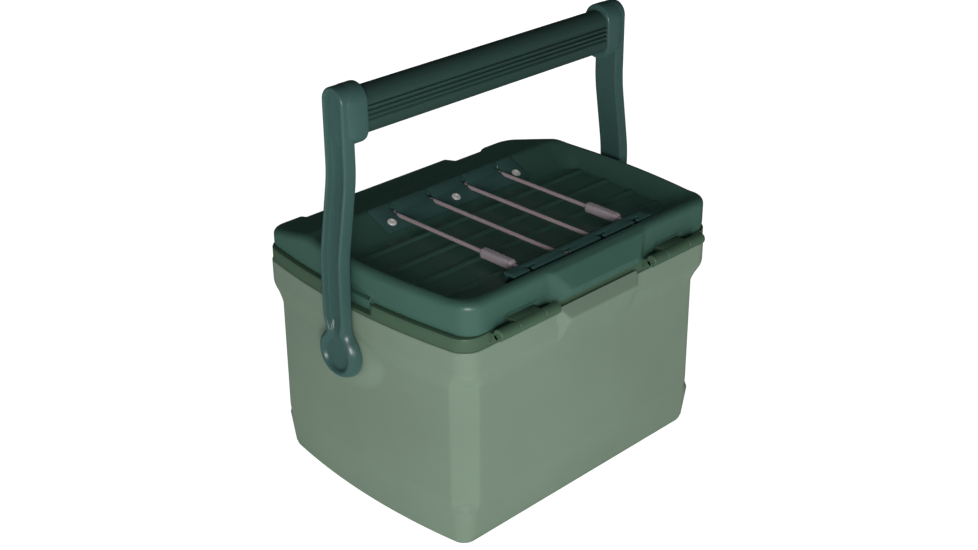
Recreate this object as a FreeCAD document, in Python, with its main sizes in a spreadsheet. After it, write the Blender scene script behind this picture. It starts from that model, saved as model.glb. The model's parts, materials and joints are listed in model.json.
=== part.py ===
import FreeCAD, Part
import math
import os
import re
import sys
import Sketcher

# Small hard-sided cooler: a foam-filled tub, a hinged lid with a cord tie-down tray,
# a swinging carry handle and a front latch. Millimetres, +Z up, the origin in the
# middle of the underside. Hinges are on the +Y side, the latch on the -Y side.

DIMENSIONS = {
    # plan outline shared by tub, collar and lid: gently bowed ends, rounded corners
    "end_radius": 560, "rim_mid": 143, "rim_half": 111, "rim_corner": 16.5,
    "lid_mid": 139.9, "lid_half": 111,
    # tub levels and how far each level stands in from the rim
    "rim_z": 167.5, "band_z": 149, "wall_top_z": 135, "wall_low_z": 42,
    "wall_in_x": 3, "wall_in_y": 4.5, "foot_in_x": 7.5, "foot_in_y": 10, "foot_corner": 12,
    "skin": 3.4, "liner_gap": 15, "liner_wall": 2.6, "liner_floor_z": 19,
    "ledge_half": 43, "keeper_half": 50,
    # collar
    "seam_z": 178, "mouth_in": 18, "mouth_corner": 9,
    # hinge
    "hinge_y": 118.6, "hinge_z": 178.3, "barrel_r": 4.5, "hinge_pin_r": 1.6, "hinge_play": 0.05,
    "barrel_a": 51, "barrel_b": 66, "barrel_c": 92, "barrel_d": 110, "barrel_gap": 0.35,
    # lid
    "lid_low_z": 178.4, "lid_round_z": 198, "lid_top_z": 204, "lid_round_in": 6,
    "ridge_y": -57, "front_top_z": 190, "ceiling_z": 187.5, "lid_wall": 4,
    "tray_z": 191, "tray_front_y": -27, "tray_back_y": 87, "tray_mid": 120,
    "brim_back_y": 102.5, "brim_mid": 136, "block_half": 44.5,
    "plug_z": 168, "plug_skin": 2.5,
    # tie-down plates and cord
    "plate_t": 1.8, "plate_half": 76, "slot_pitch": 37.5, "slot_w": 4.6, "cord_r": 1.6,
    "lip_half": 74, "lip_y": 88, "lip_end_y": 98.5, "lip_t": 2,
    "cord_near_z": 199.6, "cord_far_z": 199, "cord_far_y": -49.6, "cord_near_y": 93.4,
    "clip_r": 2.3,
    "screw_y": -39.5, "screw_x": 66.8, "screw_head_r": 3.75, "screw_r": 1.7,
    # latch
    "latch_y": -116, "latch_z": 182.5, "latch_r": 3.4, "latch_half": 55, "latch_pin_r": 1.5,
    "visor_half": 61,
    # handle
    "pivot_y": -5, "pivot_z": 132, "hub_r": 9, "boss_r": 20.5, "boss_in": 144.9, "boss_out": 154.3,
    "hub_rise": 4.6, "bolt_head_t": 0.9, "cap_rise_x": 6,
    "arm_half": 11, "arm_t": 10.5, "knee_in": 143.8, "knee_z": 207, "bend_in": 134.4,
    "bend_z": 268, "grip_z": 311.5, "grip_half": 12, "grip_rise": 17.2,
    "cap_half": 13, "cap_rise": 22, "cap_in": 122.5, "core_r": 8, "core_seat": 6,
}

doc = FreeCAD.newDocument("cooler")
sheet = doc.addObject("Spreadsheet::Sheet", "Dims")
for row, (alias, number) in enumerate(DIMENSIONS.items(), start=1):
    sheet.set("A%d" % row, alias)
    sheet.set("B%d" % row, str(number))
    sheet.setAlias("B%d" % row, alias)
doc.recompute()

SUB_PARTS = []


def bound(text):
    """The expression that reads each named dimension from the sheet."""
    return re.sub(r"[a-z]\w*", r"Dims.\g<0>", str(text))


def size(text):
    return float(sheet.evalExpression(bound(text)))


def new_body(label):
    body = doc.addObject("PartDesign::Body", label)
    body.Label = label
    SUB_PARTS.append(body)
    return body


def new_sketch(body, role, height="0", across="0", tilt=0.0):
    """A sketch on an origin plane, moved along the plane's normal and its own y axis, and tilted."""
    sketch = body.newObject("Sketcher::SketchObject", body.Name + "_sketch")
    plane = [item for item in body.Origin.OriginFeatures if item.Role == role][0]
    sketch.AttachmentSupport = (plane, [""])
    sketch.MapMode = "FlatFace"
    sketch.AttachmentOffset = FreeCAD.Placement(
        FreeCAD.Vector(0, size(across), size(height)),
        FreeCAD.Rotation(FreeCAD.Vector(1, 0, 0), tilt))
    sketch.setExpression("AttachmentOffset.Base.y", bound(across))
    sketch.setExpression("AttachmentOffset.Base.z", bound(height))
    return sketch


def constrain(sketch, kind, geometry, text):
    """Add a size constraint and bind it to the sheet; geometry is Sketcher's own index list."""
    index = sketch.addConstraint(Sketcher.Constraint(kind, *geometry, size(text)))
    name = "size%d" % index
    sketch.renameConstraint(index, name)
    sketch.setExpression("Constraints." + name, bound(text))


def polygon(*points):
    """A closed outline whose corners are pairs of expressions."""
    def draw(sketch):
        corners = [FreeCAD.Vector(size(x), size(y), 0) for x, y in points]
        first = None
        for i, (x, y) in enumerate(points):
            line = Part.LineSegment(corners[i], corners[(i + 1) % len(corners)])
            index = sketch.addGeometry(line, False)
            first = index if first is None else first
            constrain(sketch, "DistanceX", (-1, 1, index, 1), x)
            constrain(sketch, "DistanceY", (-1, 1, index, 1), y)
        last = first + len(points) - 1
        for index in range(first, last):
            sketch.addConstraint(Sketcher.Constraint("Coincident", index, 2, index + 1, 1))
        sketch.addConstraint(Sketcher.Constraint("Coincident", last, 2, first, 1))
    return draw


def rectangle(x_low, x_high, y_low, y_high):
    return polygon((x_low, y_low), (x_high, y_low), (x_high, y_high), (x_low, y_high))


def circle(x, y, radius):
    def draw(sketch):
        centre = FreeCAD.Vector(size(x), size(y), 0)
        index = sketch.addGeometry(Part.Circle(centre, FreeCAD.Vector(0, 0, 1), size(radius)), False)
        constrain(sketch, "DistanceX", (-1, 1, index, 3), x)
        constrain(sketch, "DistanceY", (-1, 1, index, 3), y)
        constrain(sketch, "Radius", (index,), radius)
    return draw


def slot(x, y, half, rise):
    """An upright stadium: half its width, and rise half its height."""
    def draw(sketch):
        middle_x, middle_y, small = size(x), size(y), size(half)
        lift = size(rise) - small
        up = FreeCAD.Vector(0, 0, 1)
        top = FreeCAD.Vector(middle_x, middle_y + lift, 0)
        bottom = FreeCAD.Vector(middle_x, middle_y - lift, 0)
        side = FreeCAD.Vector(small, 0, 0)
        edges = [Part.ArcOfCircle(Part.Circle(top, up, small), 0, math.pi),
                 Part.LineSegment(top - side, bottom - side),
                 Part.ArcOfCircle(Part.Circle(bottom, up, small), math.pi, 2 * math.pi),
                 Part.LineSegment(bottom + side, top + side)]
        indices = [sketch.addGeometry(edge, False) for edge in edges]
        for step, index in enumerate(indices):
            following = indices[(step + 1) % len(indices)]
            sketch.addConstraint(Sketcher.Constraint("Tangent", index, 2, following, 1))
        for index, sign in ((indices[0], "+"), (indices[2], "-")):
            constrain(sketch, "Radius", (index,), half)
            constrain(sketch, "DistanceX", (-1, 1, index, 3), x)
            constrain(sketch, "DistanceY", (-1, 1, index, 3),
                      "%s %s (%s - %s)" % (y, sign, rise, half))
    return draw


def both(*drawings):
    def draw(sketch):
        for drawing in drawings:
            drawing(sketch)
    return draw


def plan(mid, front, back, corner):
    """A rounded rectangle with bowed ends: mid is its half length in the middle of an end."""
    def draw(sketch):
        bow, low, high, small = size("end_radius"), size(front), size(back), size(corner)
        middle = (low + high) / 2
        centre_x = size(mid) - bow
        rise = (high - low) / 2 - small
        corner_x = centre_x + math.sqrt((bow - small) ** 2 - rise ** 2)
        turn = math.atan2(rise, corner_x - centre_x)
        half, full = math.pi / 2, math.pi
        up = FreeCAD.Vector(0, 0, 1)

        def arc(x, y, radius, start, end):
            return Part.ArcOfCircle(Part.Circle(FreeCAD.Vector(x, y, 0), up, radius), start, end)

        edges = [
            Part.LineSegment(FreeCAD.Vector(-corner_x, low, 0), FreeCAD.Vector(corner_x, low, 0)),
            arc(corner_x, low + small, small, -half, -turn),
            arc(centre_x, middle, bow, -turn, turn),
            arc(corner_x, high - small, small, turn, half),
            Part.LineSegment(FreeCAD.Vector(corner_x, high, 0), FreeCAD.Vector(-corner_x, high, 0)),
            arc(-corner_x, high - small, small, half, full - turn),
            arc(-centre_x, middle, bow, full - turn, full + turn),
            arc(-corner_x, low + small, small, full + turn, full + half),
        ]
        indices = [sketch.addGeometry(edge, False) for edge in edges]
        for index in indices:
            following = indices[(index + 1) % len(indices)]
            sketch.addConstraint(Sketcher.Constraint("Tangent", index, 2, following, 1))
        for index in (0, 4):
            sketch.addConstraint(Sketcher.Constraint("Horizontal", index))
        constrain(sketch, "DistanceY", (-1, 1, 0, 1), front)
        constrain(sketch, "DistanceY", (-1, 1, 4, 1), back)
        for index in (1, 3, 5, 7):
            constrain(sketch, "Radius", (index,), corner)
        for index, sign in ((2, ""), (6, "-")):
            constrain(sketch, "Radius", (index,), "end_radius")
            constrain(sketch, "DistanceX", (-1, 1, index, 3), "%s(%s - end_radius)" % (sign, mid))
            constrain(sketch, "DistanceY", (-1, 1, index, 3), "((%s) + (%s)) / 2" % (front, back))
    return draw


def extrude(body, role, drawing, centre, length, cut=False, across="0", tilt=0.0):
    """Pad or pocket a drawing evenly to both sides of its plane, and check that it did something."""
    before = body.Shape.Volume if body.Tip else 0.0
    sketch = new_sketch(body, role, centre, across, tilt)
    drawing(sketch)
    feature = body.newObject("PartDesign::Pocket" if cut else "PartDesign::Pad",
                             body.Name + ("_pocket" if cut else "_pad"))
    feature.Profile = sketch
    feature.SideType = "Symmetric"
    feature.Length = size(length)
    feature.setExpression("Length", bound(length))
    doc.recompute()
    if abs(body.Shape.Volume - before) < 0.01:
        sys.exit("%s changed nothing" % feature.Name)
    return feature


def loft(body, sections, cut=False):
    """A ruled loft through plan outlines, each (height, mid, front, back, corner)."""
    before = body.Shape.Volume if body.Tip else 0.0
    sketches = []
    for height, *outline in sections:
        sketch = new_sketch(body, "XY_Plane", height)
        plan(*outline)(sketch)
        sketches.append(sketch)
    feature = body.newObject("PartDesign::SubtractiveLoft" if cut else "PartDesign::AdditiveLoft",
                             body.Name + ("_hollow" if cut else "_loft"))
    feature.Profile = sketches[0]
    feature.Sections = sketches[1:]
    feature.Ruled = True
    doc.recompute()
    if abs(body.Shape.Volume - before) < 0.01:
        sys.exit("%s changed nothing" % feature.Name)
    return feature


def inset(height, x_in, y_in, corner):
    """The rim's outline drawn in by x_in at the ends and y_in at front and back."""
    return (height, "rim_mid - (%s)" % x_in, "(%s) - rim_half" % y_in,
            "rim_half - (%s)" % y_in, corner)


def lid_inset(height, amount, corner):
    return (height, "lid_mid - (%s)" % amount, "(%s) - lid_half" % amount,
            "lid_half - (%s)" % amount, corner)


def bar(body, x_low, x_high, y, z, radius, cut=False):
    """A round bar along X."""
    return extrude(body, "YZ_Plane", circle(y, z, radius), "((%s) + (%s)) / 2" % (x_low, x_high),
                   "(%s) - (%s)" % (x_high, x_low), cut)


def paired_bars(label, x_low, x_high, y, z, radius):
    """Two matching bars along X, one at each end of the object, as one sub-part of two solids."""
    pieces = []
    for side in (1, -1):
        piece = doc.addObject("Part::Cylinder", "%s_bar" % label)
        piece.setExpression("Radius", bound(radius))
        piece.setExpression("Height", bound("(%s) - (%s)" % (x_high, x_low)))
        piece.Placement = FreeCAD.Placement(FreeCAD.Vector(), FreeCAD.Rotation(
            FreeCAD.Vector(0, 1, 0), 90.0 * side))
        piece.setExpression("Placement.Base.x", bound("%d * (%s)" % (side, x_low)))
        piece.setExpression("Placement.Base.y", bound(y))
        piece.setExpression("Placement.Base.z", bound(z))
        pieces.append(piece)
    return pieces


def group(label, pieces):
    """Separate solids that share one sub-part."""
    compound = doc.addObject("Part::Compound", label)
    compound.Label = label
    compound.Links = pieces
    SUB_PARTS.append(compound)
    doc.recompute()
    return compound


# ---------------------------------------------------------------- tub

def tub_sections(x_in, y_in, floor):
    """The tub's five levels, drawn in by a wall thickness."""
    return [
        inset(floor, "foot_in_x + %s" % x_in, "foot_in_y + %s" % y_in, "foot_corner"),
        inset("wall_low_z", "wall_in_x + %s" % x_in, "wall_in_y + %s" % y_in, "rim_corner - 1"),
        inset("wall_top_z", "wall_in_x + %s" % x_in, "wall_in_y + %s" % y_in, "rim_corner - 1"),
        inset("band_z", x_in, y_in, "rim_corner"),
        inset("rim_z", x_in, y_in, "rim_corner"),
    ]


def make_outer_shell():
    body = new_body("outer_shell")
    loft(body, tub_sections("0", "0", "0"))
    back_ledge = polygon(("rim_half - 12", "rim_z"), ("rim_half + 1", "rim_z"),
                         ("rim_half + 8", "rim_z - 8"), ("rim_half - 2", "wall_top_z - 4"),
                         ("rim_half - 12", "wall_top_z - 4"))
    extrude(body, "YZ_Plane", back_ledge, "0", "2 * ledge_half")
    keeper = polygon(("10 - rim_half", "rim_z"), ("-rim_half - 1", "rim_z"),
                     ("-rim_half - 6.6", "rim_z - 4"), ("-rim_half - 6.6", "rim_z - 6.7"),
                     ("10 - rim_half", "rim_z - 6.7"))
    extrude(body, "YZ_Plane", keeper, "0", "2 * keeper_half")
    hollow = tub_sections("skin", "skin", "skin")
    hollow[-1] = inset("rim_z + 1", "skin", "skin", "rim_corner")
    loft(body, hollow, cut=True)
    for side in ("1", "-1"):
        dish = circle("pivot_y", "pivot_z", "boss_r + 3")
        extrude(body, "YZ_Plane", dish, side + " * (rim_mid + 3)", "8.4", cut=True)
        bore = circle("pivot_y", "pivot_z", "hub_r")
        extrude(body, "YZ_Plane", bore, side + " * rim_mid", "20", cut=True)
    return body


def make_liner_and_foam():
    """The food liner hangs inside the shell, and foam fills what is between them."""
    depth = "liner_gap"
    outside = [
        inset("liner_floor_z - liner_wall", "foot_in_x + liner_gap", "foot_in_y + liner_gap", "9"),
        inset("rim_z", depth, depth, "12"),
    ]
    inside = [
        inset("liner_floor_z", "foot_in_x + liner_gap + liner_wall",
              "foot_in_y + liner_gap + liner_wall", "7"),
        inset("rim_z + 1", "liner_gap + liner_wall", "liner_gap + liner_wall", "10"),
    ]
    liner = new_body("inner_liner")
    loft(liner, outside)
    loft(liner, inside, cut=True)

    foam = new_body("tub_foam")
    loft(foam, tub_sections("skin", "skin", "skin"))
    hollow = outside + [inset("rim_z + 1", depth, depth, "12")]
    loft(foam, hollow, cut=True)
    for side in ("1", "-1"):
        seat = circle("pivot_y", "pivot_z", "hub_r + 5")
        extrude(foam, "YZ_Plane", seat, side + " * (rim_mid - 6)", "12", cut=True)
    return liner, foam


def make_collar():
    """The rim frame on top of the tub, with the two outer knuckles of each hinge."""
    body = new_body("collar")
    loft(body, [inset("rim_z", "0", "0", "rim_corner"), inset("seam_z", "0", "0", "rim_corner")])
    loft(body, [inset("rim_z - 1", "mouth_in", "mouth_in", "mouth_corner"),
                inset("seam_z + 1", "mouth_in", "mouth_in", "mouth_corner")], cut=True)
    for low, high in (("barrel_a", "barrel_b"), ("barrel_c", "barrel_d")):
        for side in (1, -1):
            centre = "%d * (%s + %s) / 2" % (side, low, high)
            web = polygon(("rim_half - 1", "seam_z - 7"), ("hinge_y", "hinge_z - barrel_r"),
                          ("hinge_y", "hinge_z"), ("rim_half - 1", "seam_z"))
            extrude(body, "YZ_Plane", web, centre, "%s - %s" % (high, low))
            knuckle = circle("hinge_y", "hinge_z", "barrel_r")
            extrude(body, "YZ_Plane", knuckle, centre, "%s - %s" % (high, low))
    bar(body, "-barrel_d - 1", "barrel_d + 1", "hinge_y", "hinge_z", "hinge_pin_r", cut=True)
    return body


def make_tub_hardware():
    group("hinge_pins", paired_bars("hinge_pin", "barrel_a + 0.5", "barrel_d - 0.5",
                                    "hinge_y", "hinge_z", "hinge_pin_r"))
    hubs = paired_bars("hub", "rim_mid - 8", "boss_in + hub_rise", "pivot_y", "pivot_z", "hub_r")
    flanges = paired_bars("hub_flange", "rim_mid - 11.9", "rim_mid - 7.9", "pivot_y", "pivot_z",
                          "hub_r + 5")
    bolts = paired_bars("bolt", "rim_mid - 11.9", "boss_in + hub_rise + 0.2", "pivot_y", "pivot_z", "3")
    heads = paired_bars("bolt_head", "boss_in + hub_rise + 0.2",
                        "boss_in + hub_rise + 0.2 + bolt_head_t", "pivot_y", "pivot_z", "12.5")
    hub_solids, bolt_solids = [], []
    for hub, flange, bolt, head in zip(hubs, flanges, bolts, heads):
        joined = doc.addObject("Part::Fuse", "hub_joined")
        joined.Base, joined.Tool = hub, flange
        drilled = doc.addObject("Part::Cut", "hub_drilled")
        drilled.Base, drilled.Tool = joined, bolt
        hub_solids.append(drilled)
        fastener = doc.addObject("Part::Fuse", "bolt_joined")
        fastener.Base, fastener.Tool = bolt, head
        bolt_solids.append(fastener)
    group("pivot_hubs", hub_solids)
    group("pivot_bolts", bolt_solids)


# ---------------------------------------------------------------- lid

SLOPE_Z = "(lid_top_z - tray_z)"
SLOPE_Y = "(tray_front_y - ridge_y)"


def slope_z(y, above="0"):
    """Height of the tray's front wall at y, plus a vertical allowance."""
    return "lid_top_z - (%s) * %s / %s + (%s)" % ("(%s) - ridge_y" % y, SLOPE_Z, SLOPE_Y, above)


def back_wall_z(y):
    """Height just above the tray's back wall at y."""
    return ("tray_z + 0.05 + ((%s) - tray_back_y) * (lid_top_z - tray_z) / (brim_back_y - tray_back_y)"
            % y)


def make_lid_shell():
    body = new_body("lid_shell")
    loft(body, [lid_inset("lid_low_z", "1", "rim_corner"), lid_inset("lid_low_z + 5", "0", "rim_corner"),
                lid_inset("lid_round_z - 2", "0.5", "rim_corner"),
                lid_inset("lid_round_z + 2.5", "2.5", "rim_corner - 1"),
                lid_inset("lid_top_z", "lid_round_in", "rim_corner - 4")])
    back_block = polygon(("lid_half - 12", "lid_low_z + 3"), ("lid_half + 5", "lid_low_z + 3"),
                         ("lid_half + 8.4", "lid_low_z + 6"), ("lid_half + 7.4", "lid_round_z - 1"),
                         ("lid_half - 4", "lid_top_z"), ("lid_half - 12", "lid_top_z"))
    extrude(body, "YZ_Plane", back_block, "0", "2 * block_half")
    visor = polygon(("14 - lid_half", "front_top_z"), ("-lid_half - 5", "front_top_z - 1"),
                    ("-lid_half - 6.5", "front_top_z - 3.4"), ("14 - lid_half", "front_top_z - 3.4"))
    extrude(body, "YZ_Plane", visor, "0", "2 * visor_half")
    bevel = polygon(("ridge_y", "lid_top_z + 0.01"), ("ridge_y", "lid_top_z + 5"),
                    ("-lid_half - 12", "lid_top_z + 5"), ("-lid_half - 12", "front_top_z"),
                    ("-lid_half", "front_top_z"))
    extrude(body, "YZ_Plane", bevel, "0", "2 * rim_mid + 10", cut=True)
    loft(body, [("tray_z", "tray_mid", "tray_front_y", "tray_back_y", "8"),
                ("lid_top_z", "brim_mid - 1", "ridge_y", "brim_back_y", "16"),
                ("lid_top_z + 2", "brim_mid", "ridge_y - 1", "brim_back_y + 1", "17")], cut=True)
    make_lid_hollows(body)
    make_lid_knuckles(body)
    make_latch_seat(body)
    make_cord_channels(body)
    return body


def make_lid_hollows(body):
    loft(body, [lid_inset("lid_low_z - 1", "lid_wall", "rim_corner - 4"),
                lid_inset("ceiling_z", "lid_wall", "rim_corner - 4")], cut=True)


def make_lid_knuckles(body):
    for side in (1, -1):
        centre = "%d * (barrel_b + barrel_c) / 2" % side
        width = "barrel_c - barrel_b - 2 * barrel_gap"
        web = polygon(("lid_half - 2", "hinge_z + 1.4"), ("hinge_y", "hinge_z"),
                      ("hinge_y", "hinge_z + barrel_r"), ("lid_half - 2", "hinge_z + barrel_r + 3"))
        extrude(body, "YZ_Plane", web, centre, width)
        extrude(body, "YZ_Plane", circle("hinge_y", "hinge_z", "barrel_r"), centre, width)
        bore = circle("hinge_y", "hinge_z", "hinge_pin_r + hinge_play")
        extrude(body, "YZ_Plane", bore, centre, "barrel_c - barrel_b", cut=True)


def make_latch_seat(body):
    """A recess in the lid's front for the latch barrel, and an ear at each end for its pin."""
    seat = rectangle("-lid_half - 3", "1.6 - lid_half", "lid_low_z - 1", "front_top_z - 3.4")
    extrude(body, "YZ_Plane", seat, "0", "2 * latch_half + 2", cut=True)
    for side in (1, -1):
        ear = polygon(("3 - lid_half", "lid_low_z + 0.5"), ("latch_y", "latch_z - latch_r"),
                      ("latch_y - latch_r", "latch_z"), ("latch_y - latch_r", "front_top_z - 3.4"),
                      ("3 - lid_half", "front_top_z - 3.4"))
        extrude(body, "YZ_Plane", ear, "%d * (latch_half + visor_half + 0.5) / 2" % side,
                "visor_half - latch_half - 0.5")
    bar(body, "-visor_half + 2", "visor_half - 2", "latch_y", "latch_z", "latch_pin_r", cut=True)


def make_cord_channels(body):
    """Room in the tray's front wall for the cord where it runs behind the plate."""
    behind = rectangle("cord_far_y - 2.2", "cord_far_y + 2.2", "cord_far_z - cord_r - 0.4",
                       "lid_top_z + 1")
    extrude(body, "YZ_Plane", behind, "0", "3 * slot_pitch + slot_w", cut=True)
    for slot in (-1.5, -0.5, 0.5, 1.5):
        groove = rectangle("cord_far_y - 2.2", "cord_far_y + 16", "cord_far_z - cord_r - 0.4",
                           "lid_top_z + 1")
        extrude(body, "YZ_Plane", groove, "%s * slot_pitch" % slot, "slot_w", cut=True)
    for side in (-1, 1):
        pocket = rectangle("lip_y + lip_t", "cord_near_y + 3.5", "cord_near_z - clip_r - 0.7",
                           "lid_top_z + 1")
        extrude(body, "YZ_Plane", pocket, "%d * 1.5 * slot_pitch" % side, "2 * clip_r + 1.4", cut=True)
    for screw in (-1, 0, 1):
        extrude(body, "XY_Plane", circle("%d * screw_x" % screw, "0", "screw_r + hinge_play"),
                slope_z("screw_y"), "12", cut=True, across="screw_y", tilt=slope_tilt())


def slope_tilt():
    return -math.degrees(math.atan2(size(SLOPE_Z), size(SLOPE_Y)))


def make_lid_inside():
    """The lid's underside panel with its plug, the foam above it, and the seal round the plug."""
    plug = "mouth_in + 2.6"
    liner = new_body("lid_liner")
    loft(liner, [lid_inset("lid_low_z", "lid_wall", "rim_corner - 4"),
                 lid_inset("lid_low_z + 2.6", "lid_wall", "rim_corner - 4")])
    loft(liner, [inset("plug_z", plug, plug, "7"), inset("lid_low_z + 0.5", plug, plug, "7")])
    loft(liner, [inset("plug_z + plug_skin", plug + " + 2.5", plug + " + 2.5", "5"),
                 inset("lid_low_z + 3", plug + " + 2.5", plug + " + 2.5", "5")], cut=True)

    foam = new_body("lid_foam")
    loft(foam, [lid_inset("lid_low_z + 2.6", "lid_wall", "rim_corner - 4"),
                lid_inset("ceiling_z", "lid_wall", "rim_corner - 4")])
    loft(foam, [inset("plug_z + plug_skin", plug + " + 2.5", plug + " + 2.5", "5"),
                inset("lid_low_z + 3", plug + " + 2.5", plug + " + 2.5", "5")])

    gasket = new_body("lid_gasket")
    outer = "mouth_in + 0.4"
    loft(gasket, [inset("seam_z - 5", outer, outer, "8.6"), inset("seam_z - 2", outer, outer, "8.6")])
    loft(gasket, [inset("seam_z - 6", plug, plug, "7"), inset("seam_z - 1", plug, plug, "7")], cut=True)


def make_tie_plates():
    """A sloped slotted plate on the tray's front wall and a lipped one along its back wall."""
    front = new_body("tie_plate_front")
    rise = "plate_t + 0.25"
    sheet_outline = polygon(("ridge_y + 1", slope_z("ridge_y + 1")),
                            ("ridge_y + 1", slope_z("ridge_y + 1", rise)),
                            ("tray_front_y - 4", slope_z("tray_front_y - 4", rise)),
                            ("tray_front_y - 4", slope_z("tray_front_y - 4")))
    extrude(front, "YZ_Plane", sheet_outline, "0", "2 * plate_half")
    for slot in (-1.5, -0.5, 0.5, 1.5):
        mouth = rectangle("ridge_y", "cord_far_y + 15", "tray_z - 1", "lid_top_z + 5")
        extrude(front, "YZ_Plane", mouth, "%s * slot_pitch" % slot, "slot_w", cut=True)
    for screw in (-1, 0, 1):
        extrude(front, "XY_Plane", circle("%d * screw_x" % screw, "0", "screw_r + hinge_play"),
                slope_z("screw_y"), "12", cut=True, across="screw_y", tilt=slope_tilt())

    back = new_body("tie_plate_back")
    lip = polygon(("lip_y", back_wall_z("lip_y")), ("lip_y + lip_t", back_wall_z("lip_y + lip_t")),
                  ("lip_y + lip_t", "lid_top_z - lip_t"), ("lip_end_y", "lid_top_z - lip_t"),
                  ("lip_end_y", "lid_top_z"), ("lip_y", "lid_top_z"))
    extrude(back, "YZ_Plane", lip, "0", "2 * lip_half")
    for slot in (-1.5, -0.5, 0.5, 1.5):
        window = rectangle("lip_y - 1", "lip_y + lip_t + 0.5", "cord_near_z - cord_r - 0.3",
                           "lid_top_z - lip_t")
        extrude(back, "YZ_Plane", window, "%s * slot_pitch" % slot, "slot_w", cut=True)
        notch = rectangle("lip_end_y - 5", "lip_end_y + 1", "lid_top_z - lip_t - 1", "lid_top_z + 1")
        extrude(back, "YZ_Plane", notch, "%s * slot_pitch" % slot, "slot_w", cut=True)


def make_plate_screws():
    """Three pan-head screws square to the sloped plate."""
    tilt = FreeCAD.Rotation(FreeCAD.Vector(1, 0, 0), slope_tilt())
    normal = tilt.multVec(FreeCAD.Vector(0, 0, 1))
    screws = []
    for place in (-1, 0, 1):
        seat = FreeCAD.Vector(place * size("screw_x"), size("screw_y"), size(slope_z("screw_y")))
        seat += normal * size("plate_t + 0.25") * normal.z
        head = doc.addObject("Part::Cylinder", "screw_head")
        head.setExpression("Radius", bound("screw_head_r"))
        head.Height = 1.7
        head.Placement = FreeCAD.Placement(seat, tilt)
        shank = doc.addObject("Part::Cylinder", "screw_shank")
        shank.setExpression("Radius", bound("screw_r"))
        shank.Height = 7.5
        shank.Placement = FreeCAD.Placement(
            seat + tilt.multVec(FreeCAD.Vector(0, 0, -6.5)), tilt)
        screw = doc.addObject("Part::Fuse", "screw_joined")
        screw.Base, screw.Tool = head, shank
        screws.append(screw)
    group("tie_plate_screws", screws)


# The cord is held all the way: four strands across the tray, each pair turning round
# behind a plate. Corners are listed by hand in strand order as (pitch steps, end).

CORD_STOPS = [(1.5, "near"), (1.5, "far"), (0.5, "far"), (0.5, "near"),
              (-0.5, "near"), (-0.5, "far"), (-1.5, "far"), (-1.5, "near")]
CORD_BEND = 4.0


def cord_corners():
    ends = {"near": (size("cord_near_y"), size("cord_near_z")),
            "far": (size("cord_far_y"), size("cord_far_z"))}
    pitch = size("slot_pitch")
    corners = [FreeCAD.Vector(step * pitch, *ends[end]) for step, end in CORD_STOPS]
    corners[0].y += 2.5
    corners[-1].y += 2.5
    return corners


def rounded_wire(corners, bend):
    """Straight runs joined by tangent arcs of one bend radius."""
    edges, start = [], corners[0]
    for before, corner, after in zip(corners, corners[1:], corners[2:]):
        back = (before - corner).normalize()
        ahead = (after - corner).normalize()
        reach = bend * math.tan((math.pi - back.getAngle(ahead)) / 2)
        inward = (back + ahead).normalize()
        middle = corner + inward * (math.hypot(reach, bend) - bend)
        leave = corner + ahead * reach
        edges.append(Part.LineSegment(start, corner + back * reach).toShape())
        edges.append(Part.Arc(corner + back * reach, middle, leave).toShape())
        start = leave
    edges.append(Part.LineSegment(start, corners[-1]).toShape())
    return Part.Wire(edges)


def make_cord():
    corners = cord_corners()
    path = rounded_wire(corners, CORD_BEND)
    heading = (corners[1] - corners[0]).normalize()
    ring = Part.Wire([Part.Circle(corners[0], heading, size("cord_r")).toShape()])
    tube = path.makePipeShell([ring], True, False)
    cord = doc.addObject("Part::Feature", "tie_down_cord")
    cord.Shape = tube
    cord.Label = "tie_down_cord"
    SUB_PARTS.append(cord)
    section = math.pi * size("cord_r") ** 2
    print("cord: length %.1f, bend radius %.1f, volume %.1f of %.1f" % (
        path.Length, CORD_BEND, tube.Volume, section * path.Length))

    sleeves, clips = [], []
    for side in (1, -1):
        x = side * 1.5 * size("slot_pitch")
        along = FreeCAD.Rotation(FreeCAD.Vector(1, 0, 0), -90)
        for name, radius, y, length, keep in (("sleeve", 4.2, 49.0, 32.0, sleeves),
                                              ("clip", size("clip_r"), size("cord_near_y") - 1.2, 3.7, clips)):
            outer = doc.addObject("Part::Cylinder", "cord_" + name)
            outer.Radius, outer.Height = radius, length
            z = size("cord_near_z") if name == "clip" else cord_height(y + length / 2)
            outer.Placement = FreeCAD.Placement(FreeCAD.Vector(x, y, z), along)
            hollow = doc.addObject("Part::Cut", "cord_%s_bored" % name)
            hollow.Base, hollow.Tool = outer, cord
            keep.append(hollow)
    group("cord_sleeves", sleeves)
    group("cord_end_clips", clips)


def cord_height(y):
    near_y, far_y = size("cord_near_y"), size("cord_far_y")
    share = (y - far_y) / (near_y - far_y)
    return size("cord_far_z") + share * (size("cord_near_z") - size("cord_far_z"))


# ---------------------------------------------------------------- latch

def make_latch():
    body = new_body("latch")
    x_length = "2 * latch_half"
    plate = polygon(("latch_y - latch_r", "latch_z"), ("latch_y - 6.6", "latch_z - 6.5"),
                    ("latch_y - 7.1", "rim_z - 4"), ("latch_y - 6.8", "rim_z - 10.4"),
                    ("latch_y + 0.6", "rim_z - 10.4"), ("latch_y + 0.6", "rim_z - 7.1"),
                    ("latch_y - 3", "rim_z - 7.1"), ("latch_y - 3", "latch_z - 4"),
                    ("latch_y", "latch_z - latch_r"), ("latch_y", "latch_z"))
    extrude(body, "YZ_Plane", plate, "0", x_length)
    extrude(body, "YZ_Plane", circle("latch_y", "latch_z", "latch_r"), "0", x_length)
    bore = circle("latch_y", "latch_z", "latch_pin_r + hinge_play")
    extrude(body, "YZ_Plane", bore, "0", "2 * latch_half + 2", cut=True)

    pin = new_body("latch_pin")
    bar(pin, "2 - visor_half", "visor_half - 2", "latch_y", "latch_z", "latch_pin_r")


# ---------------------------------------------------------------- handle

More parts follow.
